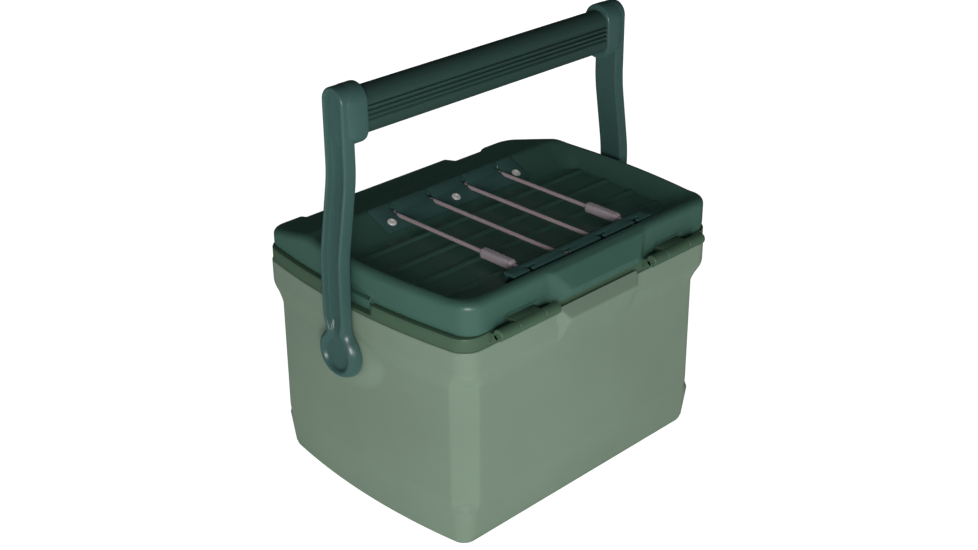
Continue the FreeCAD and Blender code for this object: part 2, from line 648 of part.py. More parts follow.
def arm_line(side, depth):
    """Corners of the arm's front view: inner face upwards, then the outer face back down.
    depth moves the inner line outwards."""
    return [("%s * (boss_in + %s)" % (side, depth), "pivot_z - boss_r - 2"),
            ("%s * (boss_in + %s)" % (side, depth), "pivot_z + boss_r"),
            ("%s * (knee_in + %s)" % (side, depth), "knee_z"),
            ("%s * (bend_in + %s)" % (side, depth), "bend_z"),
            ("%s * (bend_in + %s)" % (side, depth), "grip_z + cap_rise + 2")]


def make_arm(label, side):
    body = new_body(label)
    outer = [("%s * boss_out" % side, "pivot_z - boss_r - 2"), ("%s * boss_out" % side, "pivot_z + 8"),
             ("%s * (knee_in + arm_t)" % side, "knee_z"), ("%s * (bend_in + arm_t)" % side, "bend_z"),
             ("%s * (bend_in + arm_t)" % side, "grip_z + cap_rise + 2")]
    front_view = polygon(*(arm_line(side, "0") + outer[::-1]))
    extrude(body, "XZ_Plane", front_view, "-pivot_y", "2 * boss_r + 4")

    blank = rectangle("pivot_y - boss_r - 20", "pivot_y + boss_r + 20", "pivot_z - boss_r - 20",
                      "grip_z + cap_rise + 20")
    extrude(body, "YZ_Plane", both(blank, arm_side_view), "%s * boss_in" % side, "60", cut=True)

    channel = polygon(("%s * (boss_out - 4)" % side, "pivot_z + 8"),
                      ("%s * (knee_in + arm_t - 3.5)" % side, "knee_z"),
                      ("%s * (bend_in + arm_t - 3.5)" % side, "bend_z"),
                      ("%s * (bend_in + arm_t - 3.5)" % side, "grip_z + cap_rise - 6"),
                      ("%s * (bend_in + arm_t + 5)" % side, "grip_z + cap_rise - 6"),
                      ("%s * (bend_in + arm_t + 5)" % side, "bend_z"),
                      ("%s * (boss_out + 5)" % side, "pivot_z + 8"))
    extrude(body, "XZ_Plane", channel, "-pivot_y", "2 * arm_half - 5", cut=True)
    recess = circle("pivot_y", "pivot_z", "boss_r - 4.5")
    extrude(body, "YZ_Plane", recess, "%s * (boss_in + hub_rise + 0.1 + 10)" % side, "20", cut=True)
    bore = circle("pivot_y", "pivot_z", "hub_r + hinge_play")
    extrude(body, "YZ_Plane", bore, "%s * boss_in" % side, "30", cut=True)
    collar = slot("pivot_y", "grip_z", "cap_half", "cap_rise")
    extrude(body, "YZ_Plane", collar, "%s * (cap_in + bend_in + 0.5) / 2" % side,
            "bend_in - cap_in + 0.5")
    seat = circle("pivot_y", "grip_z", "core_r")
    extrude(body, "YZ_Plane", seat, "%s * (cap_in + bend_in + core_seat) / 2" % side,
            "bend_in + core_seat - cap_in + 0.2", cut=True)
    return body


def arm_side_view(sketch):
    """The arm seen from the end: a round boss, a straight stem and a round top."""
    y, low, top = size("pivot_y"), size("pivot_z"), size("grip_z + cap_rise - arm_half")
    half, boss = size("arm_half"), size("boss_r")
    lean = math.acos(half / boss)
    join = low + boss * math.sin(lean)
    up = FreeCAD.Vector(0, 0, 1)
    low_circle = Part.Circle(FreeCAD.Vector(y, low, 0), up, boss)
    top_circle = Part.Circle(FreeCAD.Vector(y, top, 0), up, half)
    edges = [Part.ArcOfCircle(low_circle, math.pi - lean, 2 * math.pi + lean),
             Part.LineSegment(FreeCAD.Vector(y + half, join, 0), FreeCAD.Vector(y + half, top, 0)),
             Part.ArcOfCircle(top_circle, 0, math.pi),
             Part.LineSegment(FreeCAD.Vector(y - half, top, 0), FreeCAD.Vector(y - half, join, 0))]
    indices = [sketch.addGeometry(edge, False) for edge in edges]
    for kind, here, there in (("Coincident", 0, 1), ("Tangent", 1, 2), ("Tangent", 2, 3),
                              ("Coincident", 3, 0)):
        sketch.addConstraint(Sketcher.Constraint(kind, indices[here], 2, indices[there], 1))
    for index, centre, radius in ((indices[0], "pivot_z", "boss_r"),
                                  (indices[2], "grip_z + cap_rise - arm_half", "arm_half")):
        constrain(sketch, "DistanceX", (-1, 1, index, 3), "pivot_y")
        constrain(sketch, "DistanceY", (-1, 1, index, 3), centre)
        constrain(sketch, "Radius", (index,), radius)
    for index in (indices[1], indices[3]):
        sketch.addConstraint(Sketcher.Constraint("Vertical", index))


def make_handle():
    make_arm("handle_arm_left", "1")
    make_arm("handle_arm_right", "-1")
    grip = new_body("grip_sleeve")
    extrude(grip, "YZ_Plane", slot("pivot_y", "grip_z", "grip_half", "grip_rise"), "0", "2 * cap_in")
    bar(grip, "-cap_in - 1", "cap_in + 1", "pivot_y", "grip_z", "core_r", cut=True)
    core = new_body("grip_core")
    bar(core, "-bend_in - core_seat", "bend_in + core_seat", "pivot_y", "grip_z", "core_r")
    bar(core, "-bend_in - core_seat - 1", "bend_in + core_seat + 1", "pivot_y", "grip_z",
        "core_r - 1.6", cut=True)
    group("pivot_caps", paired_bars("cap", "boss_in + cap_rise_x", "boss_in + cap_rise_x + 0.9", "pivot_y",
                                    "pivot_z", "boss_r - 4.5"))
    washers = paired_bars("washer", "boss_in - 1.7", "boss_in - 0.3", "pivot_y", "pivot_z", "14")
    bores = paired_bars("washer_bore", "boss_in - 3", "boss_in + 1", "pivot_y", "pivot_z",
                        "hub_r + hinge_play")
    rings = []
    for washer, bore in zip(washers, bores):
        ring = doc.addObject("Part::Cut", "washer_ring")
        ring.Base, ring.Tool = washer, bore
        rings.append(ring)
    group("pivot_washers", rings)


def check_and_write():
    doc.recompute()
    for item in doc.Objects:
        if "Invalid" in item.State or "Error" in item.State:
            sys.exit("%s failed to build" % item.Label)
    os.makedirs("parts", exist_ok=True)
    for piece in SUB_PARTS:
        shape = piece.Shape
        if shape.isNull() or not shape.isValid():
            sys.exit("%s has no valid shape" % piece.Label)
    for piece in SUB_PARTS:
        piece.Shape.exportStep("parts/%s.step" % piece.Label)
        print("%-20s %2d solids %10.1f mm3" % (piece.Label, len(piece.Shape.Solids),
                                               piece.Shape.Volume))


make_outer_shell()
make_liner_and_foam()
make_collar()
make_tub_hardware()
make_lid_shell()
make_lid_inside()
make_tie_plates()
make_plate_screws()
make_cord()
make_latch()
make_handle()
check_and_write()
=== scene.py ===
import json
import math

import bmesh
import bpy
import numpy as np
from mathutils import Matrix, Vector


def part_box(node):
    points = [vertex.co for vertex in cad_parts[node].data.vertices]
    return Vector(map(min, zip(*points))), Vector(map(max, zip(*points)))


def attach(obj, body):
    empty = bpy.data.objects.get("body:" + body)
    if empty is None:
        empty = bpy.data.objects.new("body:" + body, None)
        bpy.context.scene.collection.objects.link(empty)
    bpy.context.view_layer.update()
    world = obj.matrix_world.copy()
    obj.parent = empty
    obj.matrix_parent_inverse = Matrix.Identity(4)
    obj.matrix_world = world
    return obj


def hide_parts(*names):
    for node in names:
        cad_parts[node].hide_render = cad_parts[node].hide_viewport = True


# A small hard-sided cooler: sage tub, olive collar with barrel hinges, dark green lid with a
# tie-down tray, and a swing handle. Lengths here are millimetres, and add_piece turns them into
# metres. Only the floor, the lights and the camera, at the end, are placed in metres.

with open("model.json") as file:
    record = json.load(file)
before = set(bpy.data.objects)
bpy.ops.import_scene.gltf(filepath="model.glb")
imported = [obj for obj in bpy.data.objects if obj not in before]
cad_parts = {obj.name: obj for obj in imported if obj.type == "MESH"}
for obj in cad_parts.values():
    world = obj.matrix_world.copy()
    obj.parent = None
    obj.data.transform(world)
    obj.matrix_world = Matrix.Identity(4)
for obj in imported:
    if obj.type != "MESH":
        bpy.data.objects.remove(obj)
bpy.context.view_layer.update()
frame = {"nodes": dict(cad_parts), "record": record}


def reach(node):
    """Lowest and highest corner of a CAD node, in millimetres."""
    low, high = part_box(node)
    return np.array(low) * 1000, np.array(high) * 1000


# ---------------------------------------------------------------- sizes read from the frame

COLLAR_LOW, COLLAR_HIGH = reach("collar")
LID_HIGH = reach("lid_shell")[1]
TUB_HIGH = reach("outer_shell")[1]
ARM_HIGH = reach("handle_arm_left")[1]
GRIP_LOW, GRIP_HIGH = reach("grip_sleeve")
LATCH_LOW, LATCH_HIGH = reach("latch")
LATCH_PIN_HIGH = reach("latch_pin")[1]
PLATE_HIGH = reach("tie_plate_front")[1]
LIP_LOW, LIP_HIGH = reach("tie_plate_back")
SCREW_LOW, SCREW_HIGH = reach("tie_plate_screws")
SLEEVE_LOW, SLEEVE_HIGH = reach("cord_sleeves")
JOINTS = {joint["name"]: np.array(joint["pos_m"]) * 1000
          for joint in frame["record"]["behaviour"]["joints"]}

# The ends of tub, collar and lid bow outwards on an arc of radius BOW.
BOW = 560.0
RIM_MID = COLLAR_HIGH[0]
RIM_HALF = -COLLAR_LOW[1]
RIM_CORNER = 16.5
RIM_Z = TUB_HIGH[2]
SEAM_Z = 178.0
HINGE_Y, HINGE_Z = JOINTS["lid_hinge"][1:]
PIVOT_Y, PIVOT_Z = JOINTS["handle_swing"][1:]
LATCH_Y, LATCH_Z = JOINTS["latch_swing"][1:]
LID_MID = 139.9
LID_TOP = LID_HIGH[2]
KNUCKLE_R = 4.5
# Each hinge, measured out from the middle: collar barrel, lid barrel, collar barrel.
KNUCKLES = (51.0, 66.0, 92.0, 110.0)


# ---------------------------------------------------------------- small maths

def smooth_max(a, b, k):
    """The larger of a and b, blended where they are within k of each other."""
    share = np.clip(0.5 + 0.5 * (a - b) / k, 0, 1)
    return b * (1 - share) + a * share + k * share * (1 - share)


def smooth_min(a, b, k):
    return -smooth_max(-a, -b, k)


def ramp(value, start, end):
    """0 before start, 1 after end, smooth between; start may be the larger."""
    share = np.clip((value - start) / (end - start), 0, 1)
    return share * share * (3 - 2 * share)


def softened(value, places, heights, spread):
    """A broken line read at value, with its corners rounded over +-spread."""
    offsets = np.linspace(-spread, spread, 9)
    return np.mean([np.interp(value + offset, places, heights) for offset in offsets], axis=0)


# ---------------------------------------------------------------- meshes from rings

SIDE_STEPS, CORNER_STEPS, END_STEPS = 60, 22, 56


def plan(mid, half, corner, flat=0.0):
    """A ring round a rounded rectangle with bowed ends; flat pulls each corner arc to its chord."""
    centre_x = mid - BOW
    rise = half - corner
    corner_x = centre_x + math.sqrt((BOW - corner) ** 2 - rise ** 2)
    turn = math.atan2(rise, corner_x - centre_x)
    share = np.linspace(0, 1, CORNER_STEPS, endpoint=False)[:, None]
    angle = math.pi / 2 + (turn - math.pi / 2) * share
    arc = np.hstack([corner_x + corner * np.cos(angle), rise + corner * np.sin(angle)])
    first = np.array([corner_x, half])
    last = np.array([corner_x + corner * math.cos(turn), rise + corner * math.sin(turn)])
    chord = first + (last - first) * share
    side_x = np.linspace(0, corner_x, SIDE_STEPS, endpoint=False)
    side = np.column_stack([side_x, np.full(SIDE_STEPS, half)])
    sweep = np.linspace(turn, 0, END_STEPS)
    end = np.column_stack([centre_x + BOW * np.cos(sweep), BOW * np.sin(sweep)])
    quarter = np.vstack([side, arc * (1 - flat) + chord * flat, end])
    flip_y, flip_x = np.array([1, -1]), np.array([-1, 1])
    return np.vstack([quarter[:-1], (quarter[::-1] * flip_y)[:-1],
                      (quarter * -1)[:-1], (quarter[::-1] * flip_x)[:-1]])


def at_height(ring, z):
    return np.column_stack([ring, np.broadcast_to(z, len(ring))])


def skin(rings, closed=False, caps=True):
    """Faces between matching rings; the ends are capped, or joined to each other when closed."""
    count = len(rings[0])
    points = np.vstack(rings)
    pairs = list(zip(range(len(rings) - 1), range(1, len(rings))))
    if closed:
        pairs.append((len(rings) - 1, 0))
    faces = []
    for low, high in pairs:
        for i in range(count):
            j = (i + 1) % count
            faces.append((low * count + i, low * count + j, high * count + j, high * count + i))
    if caps and not closed:
        for ring in (0, len(rings) - 1):
            middle = len(points)
            points = np.vstack([points, rings[ring].mean(axis=0)])
            for i in range(count):
                faces.append((ring * count + i, ring * count + (i + 1) % count, middle))
    return points, faces


def lathe(profile, centre, axis, steps=48, closed=False):
    """Turn (radius, distance along axis) pairs round a line through centre."""
    axis = Vector(axis).normalized()
    across = axis.orthogonal().normalized()
    other = axis.cross(across)
    angle = np.linspace(0, 2 * math.pi, steps, endpoint=False)[:, None]
    spoke = np.cos(angle) * np.array(across) + np.sin(angle) * np.array(other)
    rings = [np.array(centre) + spoke * radius + np.array(axis) * along for radius, along in profile]
    return skin(rings, closed=closed)


def prism(outline, place, thickness, bevel=0.0, segments=2):
    """A flat closed outline of (u, v) points given a thickness; place turns (u, v, w) into (x, y, z)."""
    mesh = bmesh.new()
    low = [mesh.verts.new(place(u, v, 0.0)) for u, v in outline]
    high = [mesh.verts.new(place(u, v, thickness)) for u, v in outline]
    mesh.faces.new(low)
    mesh.faces.new(high[::-1])
    for i in range(len(outline)):
        j = (i + 1) % len(outline)
        mesh.faces.new((low[j], low[i], high[i], high[j]))
    bmesh.ops.recalc_face_normals(mesh, faces=mesh.faces)
    if bevel:
        sharp = [edge for edge in mesh.edges if edge.calc_face_angle(0) > math.radians(40)]
        bmesh.ops.bevel(mesh, geom=sharp, offset=bevel, segments=segments, affect="EDGES",
                        profile=0.5, clamp_overlap=True)
    bmesh.ops.triangulate(mesh, faces=[face for face in mesh.faces if len(face.verts) > 4])
    mesh.verts.index_update()
    points = np.array([vert.co[:] for vert in mesh.verts])
    faces = [tuple(vert.index for vert in face.verts) for face in mesh.faces]
    mesh.free()
    return points, faces


def rounded(corners, radius, steps=5):
    """An outline with every corner replaced by a short curve."""
    outline = []
    corners = [Vector(corner) for corner in corners]
    for i, corner in enumerate(corners):
        before, after = corners[i - 1], corners[(i + 1) % len(corners)]
        cut = min(radius, (before - corner).length * 0.45, (after - corner).length * 0.45)
        start = corner + (before - corner).normalized() * cut
        end = corner + (after - corner).normalized() * cut
        for step in range(steps + 1):
            share = step / steps
            point = start.lerp(corner, share).lerp(corner.lerp(end, share), share)
            outline.append((point.x, point.y))
    return outline


def mirrored(shape):
    points, faces = shape
    return points * np.array([-1, 1, 1]), faces


def add_piece(name, shapes, body, material, nodes=(), sharp=38):
    """One object from one or more closed shapes, riding on a body in place of CAD nodes."""
    points, faces, start = [], [], 0
    for shape_points, shape_faces in shapes:
        points.append(shape_points)
        faces += [tuple(start + index for index in face) for face in shape_faces]
        start += len(shape_points)
    mesh = bpy.data.meshes.new(name)
    mesh.from_pydata((np.vstack(points) / 1000).tolist(), [], faces)
    work = bmesh.new()
    work.from_mesh(mesh)
    bmesh.ops.recalc_face_normals(work, faces=work.faces)
    work.to_mesh(mesh)
    work.free()
    mesh.shade_smooth()
    mesh.set_sharp_from_angle(angle=math.radians(sharp))
    mesh.materials.append(material)
    piece = bpy.data.objects.new(name, mesh)
    bpy.context.scene.collection.objects.link(piece)
    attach(piece, body)
    if nodes:
        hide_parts(*nodes)
    return piece


# ---------------------------------------------------------------- materials

NOISE_LOW, NOISE_HIGH = 0.3, 0.7
TONE_SCALE, GLOSS_SCALE, GLOSS_DRIFT = 9.0, 55.0, 0.08


def noise(nodes, links, coords, scale, detail=2.0):
    texture = nodes.new("ShaderNodeTexNoise")
    texture.inputs["Scale"].default_value = scale
    texture.inputs["Detail"].default_value = detail
    links.new(coords.outputs["Object"], texture.inputs["Vector"])
    return texture


def spread(nodes, links, source, low, high):
    """Map the range that a noise mostly stays in onto low to high."""
    mapped = nodes.new("ShaderNodeMapRange")
    mapped.inputs["From Min"].default_value = NOISE_LOW
    mapped.inputs["From Max"].default_value = NOISE_HIGH
    mapped.inputs["To Min"].default_value = low
    mapped.inputs["To Max"].default_value = high
    links.new(source, mapped.inputs["Value"])
    return mapped.outputs["Result"]


def moulded(name, colour, rough, grain=1400.0, depth=0.00006, drift=0.06, metal=0.0, gloss=0.3):
    """Moulded surface: fine grain, a slow drift of tone, uneven gloss."""
    material = bpy.data.materials.new(name)
    material.use_nodes = True
    nodes, links = material.node_tree.nodes, material.node_tree.links
    shader = nodes["Principled BSDF"]
    coords = nodes.new("ShaderNodeTexCoord")
    slow = noise(nodes, links, coords, TONE_SCALE, 3.0)
    tone = nodes.new("ShaderNodeMix")
    tone.data_type = "RGBA"
    tone.inputs["A"].default_value = [channel * (1 - drift) for channel in colour] + [1]
    tone.inputs["B"].default_value = [min(1, channel * (1 + drift)) for channel in colour] + [1]
    links.new(spread(nodes, links, slow.outputs["Fac"], 0, 1), tone.inputs["Factor"])
    links.new(tone.outputs["Result"], shader.inputs["Base Color"])
    patches = noise(nodes, links, coords, GLOSS_SCALE, 4.0)
    uneven = spread(nodes, links, patches.outputs["Fac"],
                    rough * (1 - GLOSS_DRIFT), rough * (1 + GLOSS_DRIFT))
    links.new(uneven, shader.inputs["Roughness"])
    fine = noise(nodes, links, coords, grain, 2.0)
    bump = nodes.new("ShaderNodeBump")
    bump.inputs["Strength"].default_value = 0.35
    bump.inputs["Distance"].default_value = depth
    links.new(fine.outputs["Fac"], bump.inputs["Height"])
    links.new(bump.outputs["Normal"], shader.inputs["Normal"])
    shader.inputs["Metallic"].default_value = metal
    shader.inputs["Specular IOR Level"].default_value = gloss
    return material


def woven(name, colour, pitch, depth=0.00025):
    """Braided cord: crossed bands of yarn, raised by a bump."""
    material = moulded(name, colour, 0.72, grain=2600, depth=0.0001, drift=0.12)
    nodes, links = material.node_tree.nodes, material.node_tree.links
    shader = nodes["Principled BSDF"]
    coords = [node for node in nodes if node.type == "TEX_COORD"][0]
    bands = []
    for direction in ("DIAGONAL", "Y"):
        wave = nodes.new("ShaderNodeTexWave")
        wave.bands_direction = direction
        wave.inputs["Scale"].default_value = pitch
        wave.inputs["Distortion"].default_value = 0.6
        links.new(coords.outputs["Object"], wave.inputs["Vector"])
        bands.append(wave.outputs["Fac"])
    joined = nodes.new("ShaderNodeMath")
    joined.operation = "MULTIPLY"
    links.new(bands[0], joined.inputs[0])
    links.new(bands[1], joined.inputs[1])
    bump = nodes.new("ShaderNodeBump")
    bump.inputs["Strength"].default_value = 0.6
    bump.inputs["Distance"].default_value = depth
    links.new(joined.outputs["Value"], bump.inputs["Height"])
    links.new(bump.outputs["Normal"], shader.inputs["Normal"])
    return material


SAGE = moulded("sage_plastic", (0.172, 0.238, 0.176), 0.42)
OLIVE = moulded("olive_plastic", (0.058, 0.110, 0.068), 0.42)
LID_GREEN = moulded("lid_plastic", (0.047, 0.116, 0.090), 0.34, gloss=0.5)
HANDLE_GREEN = moulded("handle_plastic", (0.044, 0.102, 0.092), 0.30, gloss=0.5)
GRIP_GREEN = moulded("grip_rubber", (0.028, 0.062, 0.052), 0.50, gloss=0.15, grain=2000, depth=0.0001)
PLATE_GREEN = moulded("plate_plastic", (0.046, 0.112, 0.100), 0.32)
LINER = moulded("liner_plastic", (0.62, 0.65, 0.62), 0.38)
FOAM = moulded("foam", (0.75, 0.68, 0.45), 0.85, grain=700, depth=0.0004)
SEAL = moulded("seal_rubber", (0.04, 0.045, 0.045), 0.6)
STEEL = moulded("steel", (0.72, 0.70, 0.66), 0.30, grain=3000, metal=1.0)
SCREW = moulded("screw_steel", (0.80, 0.80, 0.78), 0.30, grain=3000, metal=0.15, gloss=0.5)
WASHER = moulded("washer_plastic", (0.7, 0.7, 0.67), 0.35)
CORD = woven("cord_braid", (0.480, 0.380, 0.400), 900.0)
SLEEVE = woven("sleeve_braid", (0.440, 0.380, 0.410), 500.0, 0.0004)


# ---------------------------------------------------------------- tub

WALL_IN_X, WALL_IN_Y, FOOT_IN_X, FOOT_IN_Y = 3.0, 4.5, 7.5, 10.0
LOW_Z, WALL_Z, BAND_Z = 42.0, 135.0, 149.0
FACET_LOW, FACET_TOP, FACET_END = 37.0, 136.0, 145.5
FOOT_ROUND, WALL_THICK = 5.0, 3.2
PAD_X, PAD_R, PAD_SLOPE = 144.5, 20.0, 0.45
LEDGE_TOP, LEDGE_RIDGE_Z, LEDGE_RIDGE_HALF, LEDGE_OUT = 172.0, 162.8, 37.0, 119.0
KEEPER_OUT, KEEPER_HALF = 6.6, 49.0
RIM_LIP_IN, RIM_LIP_THICK = 13.5, 2.4
# Faces past these distances belong to the long sides and to the ends.
SIDE_FROM, END_FROM, SIDE_HALF = 90, 110, 60


def tub_ring(z, extra=0.0):
    """The tub's outline at height z, drawn in by extra."""
    in_x = softened(z, (0, LOW_Z, WALL_Z, BAND_Z), (FOOT_IN_X, WALL_IN_X, WALL_IN_X, 0), 2.0)
    in_y = softened(z, (0, LOW_Z, WALL_Z, BAND_Z), (FOOT_IN_Y, WALL_IN_Y, WALL_IN_Y, 0), 2.0)
    corner = np.interp(z, (0, LOW_Z, BAND_Z), (12.0, RIM_CORNER - 1, RIM_CORNER))
    flat = np.interp(z, (FACET_LOW - 6, FACET_LOW, FACET_TOP, FACET_END), (0, 0.85, 0.85, 0))
    return plan(RIM_MID - in_x - extra, RIM_HALF - in_y - extra, max(corner - extra, 4.0), flat)


def handle_pad(y, z):
    """Distance down the flank of the raised pad that each handle boss sits on."""
    across, up = np.abs(y - PIVOT_Y), z - PIVOT_Z
    bowl = np.hypot(0.8 * across, up)
    cone = (across + 1.08 * up) * 0.83
    return smooth_max(bowl, cone, 6.0)


def shape_tub(points):
    """The back ledge, the front keeper and the handle pads, pushed out of the plain walls."""
    x, y, z = points.T
    back = (y > SIDE_FROM) & (np.abs(x) < SIDE_HALF)
    lift = (LEDGE_TOP - RIM_Z) * ramp(np.abs(x), LEDGE_RIDGE_HALF + 7, LEDGE_RIDGE_HALF + 4)
    high = np.where(back, z + lift * ramp(z, RIM_Z - 8, RIM_Z), z)
    under = np.interp(high, (WALL_Z - 4, LEDGE_RIDGE_Z, LEDGE_TOP),
                      (RIM_HALF - WALL_IN_Y - 2.5, LEDGE_OUT, RIM_HALF + 1.4))
    facet = LEDGE_OUT - 1.4 * (np.abs(x) - LEDGE_RIDGE_HALF) + 0.3 * (high - LEDGE_RIDGE_Z)
    ledge = smooth_min(under, facet, 2.0)
    y = np.where(back & (z > WALL_Z - 4), smooth_max(y, ledge, 1.2), y)
    z = np.where(back, high, z)
    front = (y < -SIDE_FROM) & (np.abs(x) < SIDE_HALF)
    step = np.interp(z, (RIM_Z - 7.4, RIM_Z - 6.8, RIM_Z - 4, RIM_Z), (0, KEEPER_OUT, KEEPER_OUT, 1.0))
    y = np.where(front, y - step * ramp(np.abs(x), KEEPER_HALF + 1.5, KEEPER_HALF), y)
    end = np.abs(x) > END_FROM
    crown = y ** 2 / (2 * BOW)
    pad = PAD_X - crown - PAD_SLOPE * (handle_pad(y, z) - PAD_R)
    pad = smooth_min(pad, PAD_X - crown, 1.5)
    x = np.where(end, np.sign(x) * smooth_max(np.abs(x), pad, 1.0), x)
    return np.column_stack([x, y, z])


def make_tub():
    """The outer skin up to the rim, and its inner face down behind the foam."""
    rings = []
    for turn in np.linspace(0, math.pi / 2, 7):
        extra = FOOT_ROUND * (1 - math.sin(turn))
        rings.append(at_height(tub_ring(0.0, extra), FOOT_ROUND * (1 - math.cos(turn))))
    heights = np.concatenate([np.linspace(6, 30, 10), np.linspace(31, 46, 16), np.linspace(48, 98, 22),
                              np.linspace(99.5, 131, 24), np.linspace(132, 152, 31),
                              np.linspace(153, RIM_Z - 1, 20)])
    rings += [at_height(tub_ring(z), z) for z in heights]
    for extra, drop in ((0.3, 0.3), (1.0, 0.0)):
        rings.append(at_height(tub_ring(RIM_Z, extra), RIM_Z - drop))
    rings = [shape_tub(ring) for ring in rings]
    for extra, z in ((RIM_LIP_IN, RIM_Z), (RIM_LIP_IN + 0.1, RIM_Z - RIM_LIP_THICK),
                     (WALL_THICK, RIM_Z - RIM_LIP_THICK - 0.2)):
        rings.append(at_height(tub_ring(RIM_Z, extra), z))
    for z in (BAND_Z, WALL_Z, 100.0, LOW_Z, 15.0, WALL_THICK):
        rings.append(at_height(tub_ring(z, WALL_THICK), z))
    add_piece("tub_shell", [skin(rings)], "tub", SAGE, ["outer_shell"])


# ---------------------------------------------------------------- collar and hinges

COLLAR_IN = 0.8
NOTCH_HALF, NOTCH_DEPTH, NOTCH_Z = 20.0, 4.5, 170.0


def knuckle(low, high):
    """A barrel with a bore for the pin and a broken edge at each end."""
    bore, edge = 1.75, 0.45
    profile = [(bore, low), (KNUCKLE_R - edge, low), (KNUCKLE_R, low + edge),
               (KNUCKLE_R, high - edge), (KNUCKLE_R - edge, high), (bore, high)]
    return lathe(profile, (0, HINGE_Y, HINGE_Z), (1, 0, 0), closed=True)


def web(corners, low, high):
    """The plate that ties a barrel to the wall beside it."""
    return prism(corners, lambda u, v, w: (low + w, u, v), high - low, bevel=0.4)


def make_collar():
    """The ring round the tub's mouth, notched beside each arm, with the outer hinge barrels."""
    mouth = 18.0
    loops = [(COLLAR_IN + 0.5, RIM_Z), (COLLAR_IN, RIM_Z + 0.5), (COLLAR_IN, NOTCH_Z - 0.4),
             (COLLAR_IN, NOTCH_Z + 0.4), (COLLAR_IN, 174.0), (COLLAR_IN, SEAM_Z - 0.8),
             (COLLAR_IN + 0.25, SEAM_Z - 0.25), (COLLAR_IN + 0.8, SEAM_Z), (9.0, SEAM_Z),
             (mouth - 0.8, SEAM_Z), (mouth, SEAM_Z - 0.8), (mouth, RIM_Z + 0.6), (mouth - 0.6, RIM_Z)]
    rings = []
    for inward, z in loops:
        ring = at_height(plan(RIM_MID - inward, RIM_HALF - inward, max(RIM_CORNER - inward, 9.0)), z)
        if inward < 2:
            near = ramp(np.abs(ring[:, 1] - PIVOT_Y), NOTCH_HALF + 10, NOTCH_HALF)
            cut = NOTCH_DEPTH * near * ramp(z, NOTCH_Z - 0.2, NOTCH_Z + 0.2)
            cut = cut * (np.abs(ring[:, 0]) > END_FROM)
            ring[:, 0] -= np.sign(ring[:, 0]) * cut
        rings.append(ring)
    shapes = [skin(rings, closed=True)]
    for low, high in (KNUCKLES[:2], KNUCKLES[2:]):
        corners = [(RIM_HALF - 2, SEAM_Z - 8), (HINGE_Y, HINGE_Z - KNUCKLE_R + 0.1),
                   (HINGE_Y, HINGE_Z), (RIM_HALF - 2, SEAM_Z - 0.2)]
        for shape in (knuckle(low, high), web(corners, low, high)):
            shapes += [shape, mirrored(shape)]
    add_piece("rim_collar", shapes, "tub", OLIVE, ["collar"])


# ---------------------------------------------------------------- lid

RIDGE_Y, FRONT_FALL = -57.0, 14.0 / 54.0
TRAY_Z = 191.0
TRAY_IN = (120.0, -27.0, 87.0, 8.0)
TRAY_OUT = (135.0, -57.0, 102.5, 16.0)
RIB_PLACES = (-15.0, 13.5, 42.0, 70.5)
RIB_RISE, RIB_HALF = 1.5, 3.4
LID_FOOT, TAB_FOOT, TAB_HALF = 178.6, 171.4, 24.0
LID_EDGE = 5.5
BLOCK_OUT, BLOCK_HALF = 119.2, 37.0
CORD_PITCH = 37.5
CORD_FAR = (-49.6, 199.0)
CORD_NEAR = (93.4, 199.6)
CORD_R = 1.6


def rounded_distance(x, y, half, front, back, corner):
    """Distance outside a rounded rectangle whose ends bow like the lid's, negative inside."""
    across = np.abs(x) + y ** 2 / (2 * BOW) - (half - corner)
    along = np.abs(y - (front + back) / 2) - ((back - front) / 2 - corner)
    outside = np.hypot(np.maximum(across, 0), np.maximum(along, 0))
    return outside + np.minimum(np.maximum(across, along), 0) - corner


def lid_top(x, y):
    """Height of the lid's upper face: tray, ribs, rim, sloping front and its lowered strips."""
    inner = rounded_distance(x, y, *TRAY_IN)
    outer = rounded_distance(x, y, *TRAY_OUT)
    wall = TRAY_Z + (LID_TOP - TRAY_Z) * inner / (inner - outer)
    floor = np.full_like(x, TRAY_Z)
    for place in RIB_PLACES:
        bump = RIB_RISE * ramp(np.abs(y - place), RIB_HALF, RIB_HALF - 2.2)
        floor = floor + bump * ramp(np.abs(x) + y ** 2 / (2 * BOW), 121.5, 118.5)
    bevel = LID_TOP + FRONT_FALL * (y - RIDGE_Y)
    top = smooth_min(np.full_like(x, LID_TOP), bevel, 1.2)
    surface = smooth_min(smooth_max(wall, floor, 1.6), top, 1.6)
    strip = ramp(np.abs(x), 58.5, 60.0) * ramp(np.abs(x), 98.5, 96.5) * ramp(y, -100.5, -102.5)
    groove = ramp(np.abs(y - CORD_FAR[0]), 2.9, 2.1) * ramp(np.abs(x), 60.0, 59.0)
    groove = groove * np.clip(surface - (CORD_FAR[1] - CORD_R - 0.5), 0, None)
    return surface - 2.2 * strip - groove


def end_recess(y, z):
    """Depth of the pocket behind each handle arm: flat underneath, arched on top."""
    across = np.abs(y - PIVOT_Y)
    arch = 180.2 + 8.8 * (1 - (across / 31.5) ** 2)
    return 2.8 * ramp(z, 179.9, 180.7) * ramp(arch - z, 0.0, 2.2) * (across < 32)


